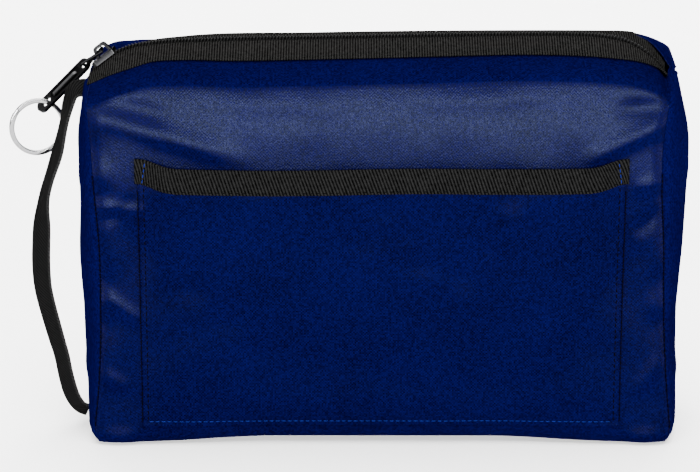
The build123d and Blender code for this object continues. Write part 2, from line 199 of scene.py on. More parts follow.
def grid_faces(rows, columns, wrap=False):
    """Quads between neighbouring rows of a point grid; wrap closes each row on itself."""
    faces = []
    last = columns if wrap else columns - 1
    for row in range(rows - 1):
        for column in range(last):
            beside = (column + 1) % columns
            faces.append((row * columns + column, row * columns + beside,
                          (row + 1) * columns + beside, (row + 1) * columns + column))
    return faces


def sheet_grid(name, points, uvs, material, thick, flip=False):
    """A cloth panel from a grid of points (rows, columns, 3), with a thickness behind its faces; flip
    turns the faces over."""
    rows, columns = points.shape[:2]
    faces = grid_faces(rows, columns)
    if flip:
        faces = [face[::-1] for face in faces]
    thing = new_mesh(name, points.reshape(-1, 3), faces, uvs.reshape(-1, 2), material)
    wall = thing.modifiers.new("wall", "SOLIDIFY")
    wall.thickness = thick * MM
    wall.offset = -1
    wall.use_rim = True
    return thing


def swept(name, path, across, up, section, material):
    """A band or wire: a closed section (pairs across, up) carried along a path."""
    rows = len(path)
    points = (path[:, None, :] + section[None, :, 0, None] * across[:, None, :]
              + section[None, :, 1, None] * up[:, None, :])
    count = len(section)
    faces = grid_faces(rows, count, wrap=True)
    faces.append(tuple(range(count))[::-1])
    faces.append(tuple(range((rows - 1) * count, rows * count)))
    uvs = np.stack([np.broadcast_to(section[None, :, 0], (rows, count)),
                    np.broadcast_to(run_along(path)[:, None], (rows, count))], axis=-1)
    return new_mesh(name, points.reshape(-1, 3), faces, uvs.reshape(-1, 2), material)


def unit(vectors):
    """Vectors scaled to length 1."""
    return vectors / np.maximum(np.linalg.norm(vectors, axis=-1, keepdims=True), 1e-9)


def rounded_strip(width, thick, corner=0.45, steps=3):
    """Section of a woven strip: a rectangle with round edges."""
    half_w = width / 2 - corner
    half_t = max(thick / 2 - corner, 0.0)
    corners = [(half_w, half_t, 0), (-half_w, half_t, 90), (-half_w, -half_t, 180), (half_w, -half_t, 270)]
    points = []
    for x, y, start in corners:
        for step in range(steps + 1):
            turn = math.radians(start + 90 * step / steps)
            points.append((x + corner * math.cos(turn), y + corner * math.sin(turn)))
    return np.array(points)


# ---------------------------------------------------------------- materials
class Nodes:
    """Short way to lay out a material's nodes."""

    def __init__(self, name):
        self.material = bpy.data.materials.new(name)
        self.material.use_nodes = True
        self.tree = self.material.node_tree
        self.shader = next(n for n in self.tree.nodes if n.type == "BSDF_PRINCIPLED")

    def put(self, kind, **settings):
        """A new node with its settings."""
        made = self.tree.nodes.new(kind)
        for key, value in settings.items():
            setattr(made, key, value)
        return made

    def feed(self, socket, value):
        """Give a socket a link or a plain value."""
        if isinstance(value, bpy.types.NodeSocket):
            self.tree.links.new(value, socket)
        else:
            socket.default_value = value

    def math(self, operation, a, b=0.0, c=0.0):
        """Result of a math node."""
        made = self.put("ShaderNodeMath", operation=operation)
        for socket, value in zip(made.inputs, (a, b, c)):
            self.feed(socket, value)
        return made.outputs[0]

    def map_range(self, value, low, high, start=0.0, end=1.0):
        """Value from low..high moved to start..end, and held there beyond."""
        made = self.put("ShaderNodeMapRange")
        self.feed(made.inputs["Value"], value)
        for label, number in (("From Min", low), ("From Max", high), ("To Min", start), ("To Max", end)):
            made.inputs[label].default_value = number
        return made.outputs[0]

    def mix(self, factor, a, b):
        """Colour between a and b."""
        made = self.put("ShaderNodeMix", data_type="RGBA")
        self.feed(made.inputs["Factor"], factor)
        self.feed(made.inputs[6], a)
        self.feed(made.inputs[7], b)
        return made.outputs[2]

    def cloth_uv(self):
        """The two cloth coordinates, in millimetres."""
        layer = self.put("ShaderNodeUVMap", uv_map="cloth")
        split = self.put("ShaderNodeSeparateXYZ")
        self.tree.links.new(layer.outputs[0], split.inputs[0])
        return split.outputs[0], split.outputs[1]

    def noise(self, scale, detail=3.0, stretch=None):
        """Noise in object space; scale is features per metre."""
        vector = self.put("ShaderNodeTexCoord").outputs["Object"]
        if stretch:
            mapping = self.put("ShaderNodeMapping")
            self.tree.links.new(vector, mapping.inputs[0])
            mapping.inputs["Scale"].default_value = stretch
            vector = mapping.outputs[0]
        made = self.put("ShaderNodeTexNoise")
        self.tree.links.new(vector, made.inputs["Vector"])
        made.inputs["Scale"].default_value = scale
        made.inputs["Detail"].default_value = detail
        return made.outputs[0]

    def wave(self, coordinate, period):
        """Sine of a coordinate in millimetres."""
        return self.math("SINE", self.math("MULTIPLY", coordinate, 2 * math.pi / period))

    def bump(self, height, depth):
        """Normal of a fine relief, its depth in millimetres."""
        made = self.put("ShaderNodeBump")
        self.feed(made.inputs["Height"], height)
        made.inputs["Distance"].default_value = depth * MM
        made.inputs["Strength"].default_value = 1.0
        return made.outputs[0]

    def finish(self, roughness=None, **values):
        """Set the shader's own sockets."""
        if roughness is not None:
            self.feed(self.shader.inputs["Roughness"], roughness)
        for key, value in values.items():
            self.feed(self.shader.inputs[key.replace("_", " ")], value)
        return self.material


COATING_TINT = (0.62, 0.77, 1.0, 1)


def cloth_material(name, dark, light, period=1.25, depth=0.10, gloss=0.048):
    """Coated plain-weave polyester: an egg-crate weave whose crowns catch the light unevenly.

    The coating's gloss is masked by which way the cloth faces and by its height, a painted sheen: it shines where
    the cloth leans back, not where it lies level, and fades lower down.
    """
    nodes = Nodes(name)
    u, v = nodes.cloth_uv()
    weave = nodes.math("MULTIPLY", nodes.wave(u, period), nodes.wave(v, period))
    crown = nodes.math("MULTIPLY_ADD", weave, 0.5, 0.5)
    cell = nodes.put("ShaderNodeCombineXYZ")
    for socket, coordinate in zip(cell.inputs, (u, v)):
        nodes.feed(socket, nodes.math("FLOOR", nodes.math("MULTIPLY", coordinate, 2 / period)))
    chance = nodes.put("ShaderNodeTexWhiteNoise", noise_dimensions="2D")
    nodes.feed(chance.inputs["Vector"], cell.outputs[0])
    slub = nodes.noise(1400.0, 1.0)
    mottle = nodes.noise(30.0, 3.0)
    tone = nodes.math("MULTIPLY_ADD", mottle, 0.40, nodes.math("MULTIPLY", crown, 0.45))
    tone = nodes.math("MULTIPLY_ADD", chance.outputs[0], 0.60, nodes.math("SUBTRACT", tone, 0.22))
    colour = nodes.mix(tone, (*dark, 1), (*light, 1))
    height = nodes.math("MULTIPLY_ADD", slub, 1.3, nodes.math("MULTIPLY", crown, 0.45))
    rough = nodes.math("MULTIPLY_ADD", chance.outputs[0], -0.12, 0.40)
    if gloss:
        # Painted sheen: the gloss is cut where the cloth faces down, where it lies level and low down, so the
        # sheen shows where the cloth leans back.
        facing = nodes.put("ShaderNodeSeparateXYZ")
        nodes.feed(facing.inputs[0], nodes.put("ShaderNodeNewGeometry").outputs["Normal"])
        painted_sheen_facing = nodes.map_range(facing.outputs[2], -0.02, 0.20, 0.05, 1.0)
        painted_sheen_off_level = nodes.map_range(facing.outputs[2], 0.32, 0.54, gloss, 0.0)
        place = nodes.put("ShaderNodeSeparateXYZ")
        nodes.feed(place.inputs[0], nodes.put("ShaderNodeTexCoord").outputs["Object"])
        painted_sheen_height = nodes.map_range(place.outputs[2], 0.025, 0.075, 0.15, 1.0)
        gloss = nodes.math("MULTIPLY", nodes.math("MULTIPLY", painted_sheen_facing, painted_sheen_off_level), painted_sheen_height)
    return nodes.finish(roughness=rough, Base_Color=colour, Normal=nodes.bump(height, depth),
                        Specular_IOR_Level=gloss, Specular_Tint=COATING_TINT)


def twill_material(name, dark, light, period=1.1, slant=1.0, depth=0.16, edge=None):
    """Narrow woven tape with a twill line that runs slantwise; edge lightens the selvage picks."""
    nodes = Nodes(name)
    u, v = nodes.cloth_uv()
    slanted = nodes.math("MULTIPLY_ADD", u, slant, v)
    rib = nodes.wave(slanted, period)
    fine = nodes.wave(u, 0.55)
    picks = nodes.wave(v, 0.7)
    height = nodes.math("MULTIPLY_ADD", nodes.math("MULTIPLY", fine, picks), 0.45, rib)
    tone = nodes.math("MULTIPLY_ADD", height, 0.42, nodes.math("MULTIPLY", nodes.noise(900.0, 2.0), 0.9))
    colour = nodes.mix(tone, (*dark, 1), (*light, 1))
    if edge:
        near_edge = nodes.math("GREATER_THAN", nodes.math("ABSOLUTE", u), edge)
        colour = nodes.mix(nodes.math("MULTIPLY", near_edge, nodes.math("MAXIMUM", picks, 0.0)), colour,
                           (0.02, 0.02, 0.02, 1))
    return nodes.finish(roughness=0.78, Base_Color=colour, Normal=nodes.bump(height, depth),
                        Specular_IOR_Level=0.004)


def tape_material(name):
    """Zipper tape: woven, with ribs straight across it."""
    nodes = Nodes(name)
    u, v = nodes.cloth_uv()
    ribs = nodes.wave(u, 1.05)
    threads = nodes.math("MULTIPLY", nodes.wave(u, 0.52), nodes.wave(v, 0.6))
    height = nodes.math("MULTIPLY_ADD", threads, 0.35, ribs)
    tone = nodes.math("MULTIPLY_ADD", height, 0.38, nodes.math("MULTIPLY", nodes.noise(900.0, 2.0), 0.9))
    colour = nodes.mix(tone, (0.0001, 0.0001, 0.0001, 1), (0.0110, 0.0108, 0.0105, 1))
    return nodes.finish(roughness=0.8, Base_Color=colour, Normal=nodes.bump(height, 0.2),
                        Specular_IOR_Level=0.0)


def nylon_material(name):
    """Satin nylon monofilament of the zipper's coil."""
    nodes = Nodes(name)
    tone = nodes.noise(500.0, 2.0)
    colour = nodes.mix(tone, (0.001, 0.001, 0.001, 1), (0.0055, 0.0055, 0.0055, 1))
    return nodes.finish(roughness=0.38, Base_Color=colour, Normal=nodes.bump(tone, 0.03),
                        Specular_IOR_Level=0.002)


def thread_material(name, dark, light):
    """Twisted sewing thread."""
    nodes = Nodes(name)
    twist = nodes.noise(1500.0, 1.0, stretch=(1.0, 1.0, 0.25))
    colour = nodes.mix(twist, (*dark, 1), (*light, 1))
    return nodes.finish(roughness=0.6, Base_Color=colour, Normal=nodes.bump(twist, 0.05),
                        Specular_IOR_Level=0.004)


def metal_material(name, dark, light, roughness, streak=(1.0, 1.0, 1.0), depth=0.01,
                   edge_colour=(0.05, 0.05, 0.052), rim=0.3):
    """Plated metal with faint streaks, small dents, and a lighter colour on its sharp edges."""
    nodes = Nodes(name)
    streaks = nodes.noise(900.0, 4.0, stretch=streak)
    smudge = nodes.noise(160.0, 3.0)
    geometry = nodes.put("ShaderNodeNewGeometry")
    # Sharp edges, found by pointiness, take a lighter colour.
    sharp_edge_mask = nodes.map_range(geometry.outputs["Pointiness"], 0.54, 0.66)
    colour = nodes.mix(streaks, (*dark, 1), (*light, 1))
    colour = nodes.mix(sharp_edge_mask, colour, (*edge_colour, 1))
    rough = nodes.math("MULTIPLY_ADD", smudge, 0.18, roughness - 0.09)
    return nodes.finish(roughness=rough, Base_Color=colour, Metallic=1.0, Specular_Tint=(rim, rim, rim, 1),
                        Normal=nodes.bump(streaks, depth))


def floor_material():
    """Plain pale studio floor."""
    nodes = Nodes("floor_white")
    shade = nodes.mix(nodes.noise(6.0, 2.0), (0.90, 0.90, 0.90, 1), (0.93, 0.93, 0.93, 1))
    return nodes.finish(roughness=0.9, Base_Color=shade, Specular_IOR_Level=0.1)


# The end panels take a copy of the navy cloth with lighter colours and no gloss, set for how light falls on the
# ends: painted light.
NAVY_END_PAINTED_LIGHT = cloth_material("navy_end_panel_painted_light", (0.00012, 0.00006, 0.0038), (0.0010, 0.00060, 0.021), gloss=0.0)
NAVY = cloth_material("navy_polyester", (0.00010, 0.00005, 0.0027), (0.0010, 0.0006, 0.0185))
BINDING = twill_material("black_binding_twill", (0.0, 0.0, 0.0), (0.0072, 0.0072, 0.0072), 1.3, 0.35)
WEBBING = twill_material("black_webbing_twill", (0.0, 0.0, 0.0), (0.0055, 0.0055, 0.0055), 1.5, 0.8,
                         edge=4.3)
SEAM_TAPE = twill_material("black_seam_tape", (0.0004, 0.0004, 0.0004), (0.003, 0.003, 0.003), 1.3, 0.0)
TAPE = tape_material("black_zip_tape")
COIL = nylon_material("black_nylon_coil")
BLUE_THREAD = thread_material("navy_thread", (0.0012, 0.0022, 0.024), (0.005, 0.009, 0.085))
BLACK_THREAD = thread_material("black_thread", (0.0, 0.0, 0.0), (0.0012, 0.0012, 0.0014))
GUNMETAL = metal_material("gunmetal_plate", (0.003, 0.003, 0.003), (0.010, 0.010, 0.011), 0.30,
                          edge_colour=(0.03, 0.03, 0.031), rim=0.04)
TAB_METAL = metal_material("gunmetal_tab", (0.006, 0.006, 0.006), (0.018, 0.018, 0.019), 0.26)
TAB_INLAY = metal_material("tab_recess_grey", (0.02, 0.02, 0.021), (0.05, 0.05, 0.052), 0.42,
                           (0.2, 1.0, 0.2), 0.03)
# The split ring's nickel is coloured darker than bare nickel, standing in for the dark surroundings it reflects:
# painted shade in its reflections.
NICKEL = metal_material("nickel_painted_dark_reflection", (0.14, 0.14, 0.143), (0.24, 0.24, 0.243), 0.14,
                        edge_colour=(0.30, 0.30, 0.305), rim=0.8)


# ---------------------------------------------------------------- shape of the pouch
def zip_height(x):
    """Height of the chain's centre line at x."""
    return curve_through(CHAIN, x)


# The end seams: height and x.
LEFT_SEAM = [(0, -115.4), (10, -114.6), (26, -112.9), (59, -111.6), (78, -111.4), (98, -112.7),
             (118, -114.0), (135, -115.2), (152, -116.0)]
RIGHT_SEAM = [(0, 115.8), (10, 115.2), (24, 113.8), (45, 112.3), (79, 111.0), (113, 109.4),
              (130, 110.6), (152, 115.0)]
REAR_RIGHT_SEAM = [(0, 115.8), (10, 115.2), (24, 113.8), (45, 112.3), (79, 111.2), (113, 110.8),
                   (134, 113.4), (152, 117.0)]


def seam_x(side, z, rear=False):
    """Where the gusset seam runs at height z: drawn in at mid height, out at the corners."""
    if side < 0:
        return curve_through(LEFT_SEAM, z)
    return curve_through(REAR_RIGHT_SEAM if rear else RIGHT_SEAM, z)


def ridge(x, z, start, end, width, height):
    """A crease or fold along a short straight line on the front or rear wall."""
    (x0, z0), (x1, z1) = start, end
    length = math.hypot(x1 - x0, z1 - z0)
    along = ((x - x0) * (x1 - x0) + (z - z0) * (z1 - z0)) / length
    off = ((x - x0) * (z1 - z0) - (z - z0) * (x1 - x0)) / length
    fade = smooth((along + 0.25 * length) / (0.5 * length)) * smooth((1.25 * length - along) / (0.5 * length))
    return height * bell(off / width) * fade


# Folds in the walls: start and end as x and height, width, and how far they stand out.
FRONT_FOLDS = [
    ((-112, 133), (-60, 119), 4.0, 1.0), ((-112, 140), (-84, 134), 3.4, -0.6),
    ((-113, 97.5), (-95, 96.5), 2.2, 0.9), ((-110, 92), (-98, 99), 2.2, -0.5),
    ((-112, 30), (-102, 24), 2.4, 0.8), ((-110, 62), (-97, 52), 2.4, 0.7),
    ((110, 131), (82, 118), 3.6, 1.1), ((111, 138), (92, 136), 3.2, -0.9), ((113, 108), (100, 106), 2.6, 0.8),
    ((109, 96), (100, 88), 2.6, -0.6), ((112, 36), (101, 22), 2.8, 0.6),
    ((-60, 140), (-20, 137), 4.5, 0.35), ((20, 139), (62, 142), 4.5, 0.4),
]
REAR_FOLDS = [
    ((-112, 128), (-80, 112), 4.0, 0.9), ((108, 132), (84, 108), 4.0, 1.0), ((-40, 30), (30, 24), 6.0, 0.6),
    ((-104, 40), (-86, 20), 3.2, 0.8), ((104, 50), (88, 22), 3.6, 0.8), ((-30, 120), (50, 112), 7.0, 0.5),
]


def wall_bulge(x, z, folds, crest):
    """How far a wall stands out of its plain profile, in millimetres; crest is where it is fullest."""
    across = np.clip(x / HALF_LENGTH, -1, 1)
    up = np.clip(z / WALL_HEIGHT, 0, 1)
    rising = np.sin(0.5 * np.pi * up / crest)
    falling = np.cos(0.5 * np.pi * (up - crest) / (1 - crest))
    lobe = np.where(up < crest, rising, falling)       # 1 at the crest, 0 at the foot and the zipper
    belly = 2.7 * (1 - np.abs(across) ** 2.6) * np.clip(lobe, 0, 1) ** 1.1
    cloth = 0.8 * ripple(x, 0 * x, z, 46.0) + 0.28 * ripple(x, 9 + 0 * x, z, 15.0)
    creases = sum(ridge(x, z, *fold) for fold in folds)
    from_end = HALF_LENGTH - np.abs(x)
    inside = smooth(from_end / 16.0)
    # Small puckers along the end seams.
    tucks = 0.35 * np.sin(z / 4.1 + 1.3 * np.sin(z / 9.0)) * bell(from_end / 6.0)
    return belly + cloth * inside + creases * smooth((z - 4) / 12) + tucks * smooth((z - 8) / 20)


def seam_roll(x, z, rear):
    """The walls roll inwards over the last few millimetres before a gusset seam."""
    edge = np.where(x < 0, np.abs(seam_x(-1, z)), seam_x(1, z, rear))
    near = np.maximum(0.0, np.abs(x) - edge + 5.0)
    return 0.085 * near ** 2


# Lower part of the walls: depth and height, from the pocket's lip down to the base.
FRONT_LOW = [(-31.9, 104.0), (-32.1, 82.0), (-32.4, 60.0), (-33.0, 40.0), (-34.2, 22.0), (-35.4, 11.0),
             (-35.7, 5.6), (-34.8, 2.0), (-31.5, 0.35), (-24.0, 0.1), (-10.0, 0.1)]
REAR_LOW = [(10.0, 0.1), (20.0, 0.1), (25.0, 0.35), (28.4, 2.0), (30.2, 5.6), (30.9, 11.0), (31.3, 22.0),
            (31.7, 40.0), (31.9, 60.0), (32.0, 82.0), (31.9, 104.0)]


def front_top(x):
    """Front profile from the tape's edge over the shoulder and down to the pocket's lip."""
    y, z = float(curve_through(FRONT_EDGE, x, 1)), float(curve_through(FRONT_EDGE, x, 2))
    steps = [(0.0, 0.0), (0.22, 0.9), (0.5, 2.3), (0.78, 4.1), (1.0, 6.2)]
    shoulder = [(y + part * (-27.0 - y), z - drop) for part, drop in steps]
    face = [(-28.2, z - 10.0), (-29.4, z - 17.5), (-30.9, z - 29.0)]
    return [(y + 2.0, z + 0.7)] + shoulder + face


def rear_top(x):
    """Rear profile from the lower wall up and over the rear shoulder to the tape's edge."""
    y, z = float(curve_through(REAR_EDGE, x, 1)), float(curve_through(REAR_EDGE, x, 2))
    crest = float(curve_through(REAR_CREST, x))
    rise = [(30.9, crest - 26.0), (30.0, crest - 14.5), (28.4, crest - 7.0), (25.4, crest - 2.7),
            (22.5, crest - 0.9), (19.5, crest)]
    return rise + [((19.5 + y) / 2, (crest + z) / 2 + 0.3), (y, z), (y - 2.0, z - 0.1)]


def wrap_points(fractions, samples):
    """Grid of the wrap panel: one column for each fraction of the length, -1 left seam to 1 right."""
    rows = []
    for fraction in fractions:
        side = -1 if fraction < 0 else 1
        outline = front_top(fraction * HALF_TOP) + FRONT_LOW + REAR_LOW + rear_top(fraction * HALF_TOP)
        corners = [(abs(fraction) * float(seam_x(side, z, y > 0)), y, z) for y, z in outline]
        rows.append(path_through(corners, samples))
    points = np.array(rows)
    x, y, z = points[..., 0], points[..., 1], points[..., 2]
    # wall is 1 on the upright walls and 0 on the base and the top; lip fades towards the zipper.
    wall = smooth((np.abs(y) - 22.0) / 7.0) * smooth(z / 8.0)
    lip = smooth((zip_height(x) - 6.0 - z) / 14.0)
    front = wall_bulge(x, z, FRONT_FOLDS, 0.68) - seam_roll(x, z, False)
    rear = wall_bulge(-x, z, REAR_FOLDS, 0.5) - seam_roll(x, z, True)
    points[..., 1] += np.where(y < 0, -front, rear) * wall * (0.25 + 0.75 * lip)
    # The lower corners are rounded; the foot is drawn back and raised in the middle, and a small ear of
    # cloth bulges forward at each corner.
    points[..., 0] *= 1 - 0.019 * smooth((5.5 - z) / 5.5) * smooth((np.abs(x) - 96.0) / 18.0)
    middle = 1 - smooth((np.abs(x) - 42.0) / 56.0)
    low = smooth((16.0 - z) / 14.0) * smooth((-14.0 - y) / 12.0)
    points[..., 1] += low * (2.6 * middle - 1.7 * bell((np.abs(x) - 105.0) / 7.0) * smooth((9.0 - z) / 6.0))
    points[..., 2] += 1.5 * middle * smooth((14.0 - z) / 12.0) * smooth((22.0 - y) / 14.0)
    shoulder = smooth((np.abs(y) - 13.5) / 5.0) * (1 - wall) * smooth((z - 100) / 20)
    points[..., 2] += shoulder * 0.5 * ripple(x, y, z, 26.0)
    return points


COLUMNS = 150
SAMPLES = 210


def spread_fractions(count):
    """Fractions along the length, closer together near both seams."""
    t = np.linspace(-1, 1, count)
    return np.sign(t) * (1 - (1 - np.abs(t)) ** 1.25)


def cloth_uvs(points):
    """Cloth coordinates: distance along rows and columns."""
    along = np.zeros(points.shape[:2])
    up = np.zeros(points.shape[:2])
    along[1:] = np.cumsum(np.linalg.norm(np.diff(points, axis=0), axis=2), axis=0)
    up[:, 1:] = np.cumsum(np.linalg.norm(np.diff(points, axis=1), axis=2), axis=1)
    along -= along[len(along) // 2][None, :]
    return np.stack([along, up], axis=-1)


def make_wrap():
    """Front wall, base and rear wall as one panel; gives its point grid for the pieces sewn to it."""
    points = wrap_points(spread_fractions(COLUMNS), SAMPLES)
    panel = sheet_grid("wrap_cloth", points, cloth_uvs(points), NAVY, thick=CLOTH_THICK)
    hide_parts("main_panel")
    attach(panel, "pouch")
    return points


GUSSET_FRONT_Y = -31.0       # where the end panels meet the base, in front and behind
GUSSET_REAR_Y = 25.0
GUSSET_ROWS = 90
GUSSET_COLUMNS = 61
GUSSET_FOLDS = [(104.0, 0.12, 1.1), (26.0, 0.2, 0.9), (66.0, 0.78, 0.8)]     # height, place across, size


def make_gusset(name, side, wrap):
    """End panel between the front and rear seams, bulged out, and drawn down to the zipper's end."""
    edge = wrap[0] if side < 0 else wrap[-1]
    raised = 100 * (edge[:, 2] > 3)      # keeps the search for the two lower corners on the base
    base = int(np.argmin(np.abs(edge[:, 1] - GUSSET_FRONT_Y) + raised))
    rear_base = int(np.argmin(np.abs(edge[:, 1] - GUSSET_REAR_Y) + raised))
    front = evenly(edge[:base + 1][::-1], GUSSET_ROWS)
    rear = evenly(edge[rear_base:], GUSSET_ROWS)
    t = np.linspace(0, 1, GUSSET_COLUMNS)
    grid = front[:, None, :] * (1 - t[None, :, None]) + rear[:, None, :] * t[None, :, None]
    w = np.linspace(0, 1, GUSSET_ROWS)[:, None]
    # The bulge: an arch across, full at mid height, and less of it near the zipper and the foot.
    arch = np.sin(np.pi * t)[None, :] ** 0.55
    rise = smooth(w / 0.055) * smooth((1 - w) / 0.085)
    reach = GUSSET_REACH - np.abs(seam_x(side, grid[..., 2]))
    mid = 0.86 + 0.14 * np.sin(np.pi * np.clip(w * 1.05, 0, 1))
    reach = reach - 5.5 * smooth((grid[..., 2] - 118.0) / 34.0) - 1.6 * smooth((75.0 - grid[..., 2]) / 30.0)
    out = arch * rise * np.maximum(reach, 0) * mid
    y, z = grid[..., 1], grid[..., 2]
    folds = 0.55 * ripple(y, z, 0 * z + side * 5, 22.0)
    folds = folds + 0.9 * np.sin(z / 17.0 + side) * bell((t - 0.3) / 0.2)
    for height, at, size in GUSSET_FOLDS:
        offset = t[None, :] - at
        folds = folds + size * bell((z - height - 14 * offset) / 3.5) * bell(offset / 0.22)
    pleat = -1.1 * bell((t[None, :] - 0.5) / 0.07) * smooth((w - 0.55) / 0.3)
    grid[..., 0] += side * (out + (folds * 0.7 + pleat) * arch * rise)
    piece = sheet_grid(name, grid, cloth_uvs(grid), NAVY_END_PAINTED_LIGHT, thick=CLOTH_THICK, flip=side < 0)
    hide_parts("gusset_left" if side < 0 else "gusset_right")
    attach(piece, "pouch")


def front_wall(wrap):
    """Depth of the front wall's outer face at any x, z, read from the wrap's own grid."""
    half = SAMPLES // 2
    face = wrap[:, :half]

    def depth(x, z):
        x, z = np.broadcast_arrays(np.asarray(x, float), np.asarray(z, float))
        column_x = face[:, half // 3, 0]
        place = np.interp(x.ravel(), column_x, np.arange(len(column_x)))
        low = np.clip(place.astype(int), 0, len(column_x) - 2)
        part = place - low
        out = []
        for index, share, height in zip(low, part, z.ravel()):
            ends = []
            for column in (index, index + 1):
                rows = face[column][::-1]
                keep = rows[:, 1] < -20
                ends.append(np.interp(height, rows[keep, 2], rows[keep, 1]))
            out.append(ends[0] * (1 - share) + ends[1] * share)
        return np.array(out).reshape(x.shape)

    return depth


POCKET_X = (POCKET_LOW[0] + 0.3, POCKET_HIGH[0])
POCKET_FOOT = POCKET_LOW[2] - 0.2
POCKET_LIP = BINDING_LOW[2] + 0.3        # foot of the binding in the middle of the pocket
LIP_RISE = 2.8                           # the binding climbs this much to each sewn end
STITCH_INSET = 2.5                       # topstitching in from the pocket's edges


def from_side(x):
    """Distance in from the nearer sewn side of the pocket."""
    return np.minimum(x - POCKET_X[0], POCKET_X[1] - x)


def pocket_edge(x):
    """1 in the middle of the pocket, falling to 0 at its sewn sides."""
    return smooth(from_side(x) / 15.0)


def lip_height(x):
    """Height of the pocket's lip at x: it sags a little and climbs to each sewn end."""
    near = from_side(x)
    sag = 0.35 * np.sin(x / 31.0) + 0.2 * np.sin(x / 13.0 + 1)
    return POCKET_LIP + LIP_RISE * bell(near / 9.0) + sag * smooth(near / 20)


def pocket_depth(x, z, wall):
    """Outer face of the pocket cloth: flat on the wall at its seams, standing off below the lip."""
    up = np.clip((z - POCKET_FOOT) / (POCKET_LIP - POCKET_FOOT), 0, 1.3)
    stand = 0.7 + pocket_edge(x) * (1.3 * smooth(up / 0.15) + 3.4 * up ** 1.6)
    cloth = 0.5 * ripple(x, 3 + 0 * x, z, 38.0) + 0.16 * ripple(x, 5 + 0 * x, z, 12.0)
    return wall(x, z) - stand - cloth * pocket_edge(x) * smooth(up / 0.2)


def make_pocket(wall):
    """Slip pocket with turned-in side hems, standing off the wall below its lip."""
    across = np.linspace(*POCKET_X, 130)
    up = np.linspace(0, 1, 90)
    x = np.repeat(across[:, None], len(up), axis=1)
    z = POCKET_FOOT + (lip_height(x) + 2.0 - POCKET_FOOT) * up[None, :]
    y = pocket_depth(x, z, wall)
    near = from_side(x)
    # A roll along each hem's fold, and a groove under the rows of stitches.
    y -= 0.45 * bell((near - 0.9) / 0.9) - 0.30 * bell((near - STITCH_INSET) / 0.5)
    y += 0.25 * bell((z - POCKET_FOOT - STITCH_INSET) / 0.7)
    points = np.stack([x, y, z], axis=-1)
    piece = sheet_grid("pocket_cloth", points, cloth_uvs(points), NAVY, thick=CLOTH_THICK, flip=True)
    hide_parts("pocket_panel")
    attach(piece, "pouch")


def binding_path(wall, offset):
    """Line along the binding, offset above the pocket's lip, and how far it leans out."""
    x = np.linspace(POCKET_X[0] - 0.9, POCKET_X[1] + 0.9, 150)
    inner = np.clip(x, *POCKET_X)
    z = lip_height(inner) + offset
    y = pocket_depth(inner, lip_height(inner), wall) + 0.25
    lean = 0.9 * pocket_edge(inner)
    return x, y, z, lean


def make_binding(wall):
    """Twill tape folded over the pocket's lip, with a soft roll along its top."""
    height = BINDING_HIGH[2] - BINDING_LOW[2]
    x, y, z, lean = binding_path(wall, height / 2)
    path = np.stack([x, y - lean * 0.4, z], axis=1)
    ahead = unit(np.gradient(path, axis=0))
    tall = np.tile([0.0, 0.0, 1.0], (len(path), 1))
    tall[:, 1] = lean * 0.06
    tall = unit(tall - ahead * np.sum(tall * ahead, axis=1, keepdims=True))
    out = np.cross(ahead, tall)
    section = refined(rounded_strip(height, BINDING_THICK, corner=0.6), 1.0)
    piece = swept("pocket_binding_tape", path, tall, out, section, BINDING)
    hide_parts("pocket_binding")
    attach(piece, "pouch")
    return path, tall, out


# ---------------------------------------------------------------- stitches
STITCH_SIDES = 6
# A stitch's cross sections: place along it, thickness, and lift out of the cloth.
STITCH_RINGS = [(-0.5, 0.35, -0.55), (-0.36, 0.85, 0.0), (0.0, 1.0, 0.35), (0.36, 0.85, 0.0),
                (0.5, 0.35, -0.55)]


def stitch_row(name, path, out, material, pitch=2.4, length=1.7, radius=0.20):
    """Lockstitches: short fat threads that dip into the cloth at both ends."""
    run = run_along(path)
    starts = np.arange(pitch / 2, run[-1] - pitch / 2, pitch)
    points, faces, uvs = [], [], []
    sides, rings = STITCH_SIDES, STITCH_RINGS
    for start in starts:
        first = len(points)
        centre = np.array([np.interp(start, run, path[:, k]) for k in range(3)])
        ahead = np.array([np.interp(start + 0.5, run, path[:, k]) for k in range(3)]) - centre
        ahead = ahead / max(np.linalg.norm(ahead), 1e-9)
        normal = np.array([np.interp(start, run, out[:, k]) for k in range(3)])
        side = np.cross(ahead, normal)
        for at, size, lift in rings:
            for step in range(sides):
                turn = 2 * math.pi * step / sides
                points.append(centre + ahead * at * length + normal * lift * radius
                              + (side * math.cos(turn) + normal * math.sin(turn)) * radius * size)
                uvs.append((step, at * length))
        for ring_index in range(len(rings) - 1):
            for step in range(sides):
                a = first + ring_index * sides + step
                b = first + ring_index * sides + (step + 1) % sides
                faces.append((a, b, b + sides, a + sides))
        faces.append(tuple(first + step for step in range(sides))[::-1])
        faces.append(tuple(first + (len(rings) - 1) * sides + step for step in range(sides)))
    piece = new_mesh(name, points, faces, uvs, material)
    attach(piece, "pouch")


